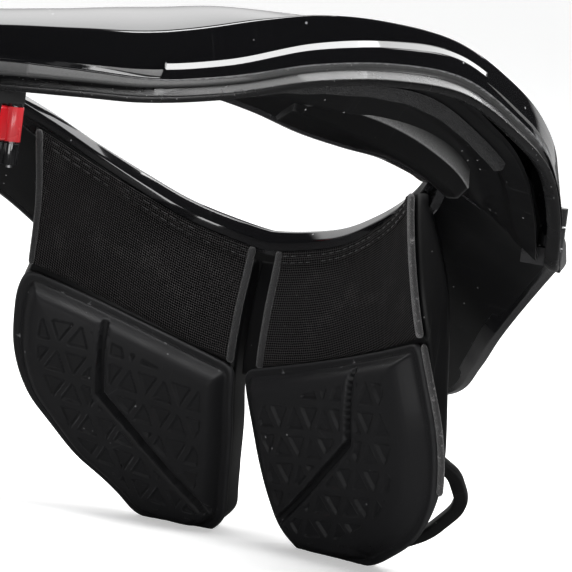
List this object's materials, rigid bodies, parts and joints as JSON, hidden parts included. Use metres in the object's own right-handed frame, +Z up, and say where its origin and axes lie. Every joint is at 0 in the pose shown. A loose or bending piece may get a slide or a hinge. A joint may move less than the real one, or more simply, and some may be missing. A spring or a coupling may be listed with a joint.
{
  "type": "motocross neck brace",
  "caption": "Hard open collar in two halves round the neck, with two padded chest plates in front and a spine strut behind.",
  "frame": {"origin": "on the floor, under the middle of the whole brace", "axes": "+Z up, the wearer faces -Y and the wearer's right is at -X"},
  "size_m": [0.2864, 0.2918, 0.188],
  "materials": {
    "gloss_shell": "high gloss black moulding",
    "satin_shell": "satin black moulding with a fine grain",
    "edge_rubber": "satin rubber edge trim",
    "grey_foam": "matte open foam",
    "pad_foam": "moulded foam with a smooth matte skin",
    "black_mesh": "woven spacer mesh",
    "red_lever": "red moulding",
    "pin_steel": "plain steel"
  },
  "bodies": {
    "rear": {"rear_collar_shell": "gloss_shell", "rear_liner": "satin_shell", "rear_edge_trim": "edge_rubber", "foam_strip_right": "grey_foam", "foam_strip_left": "grey_foam", "shoulder_tab_right": "satin_shell", "shoulder_tab_left": "satin_shell", "hinge_fork_right": "satin_shell", "hinge_pin_right": "pin_steel", "closure_socket_left": "satin_shell", "thoracic_strut": "satin_shell", "strut_pad": "pad_foam", "strut_bracket": "satin_shell"},
    "front": {"front_collar_shell": "gloss_shell", "front_liner": "satin_shell", "neck_band": "gloss_shell", "hinge_tongue_right": "satin_shell", "closure_tongue_left": "satin_shell", "closure_block_left": "satin_shell", "lever_pin_left": "pin_steel", "chest_plate_right": "satin_shell", "chest_plate_left": "satin_shell", "mesh_panel_right": "black_mesh", "mesh_panel_left": "black_mesh", "chest_pad_right": "pad_foam", "chest_pad_left": "pad_foam", "strap_loop_right": "satin_shell", "strap_loop_left": "satin_shell", "centre_strip": "satin_shell"},
    "lever": {"release_lever_left": "red_lever"}
  },
  "joints": [
    {"name": "front_opening", "type": "hinge", "parent": "rear", "child": "front", "pos_m": [-0.133, -0.01636, 0.125], "axis": [0, 0, -1], "range_deg": [0, 60]},
    {"name": "lever_press", "type": "hinge", "parent": "front", "child": "lever", "pos_m": [0.0745, -0.0326, 0.128], "axis": [0, 0, 1], "range_deg": [0, 25], "stiffness_Nm_per_rad": 0.03, "springref_deg": -5.73}
  ]
}
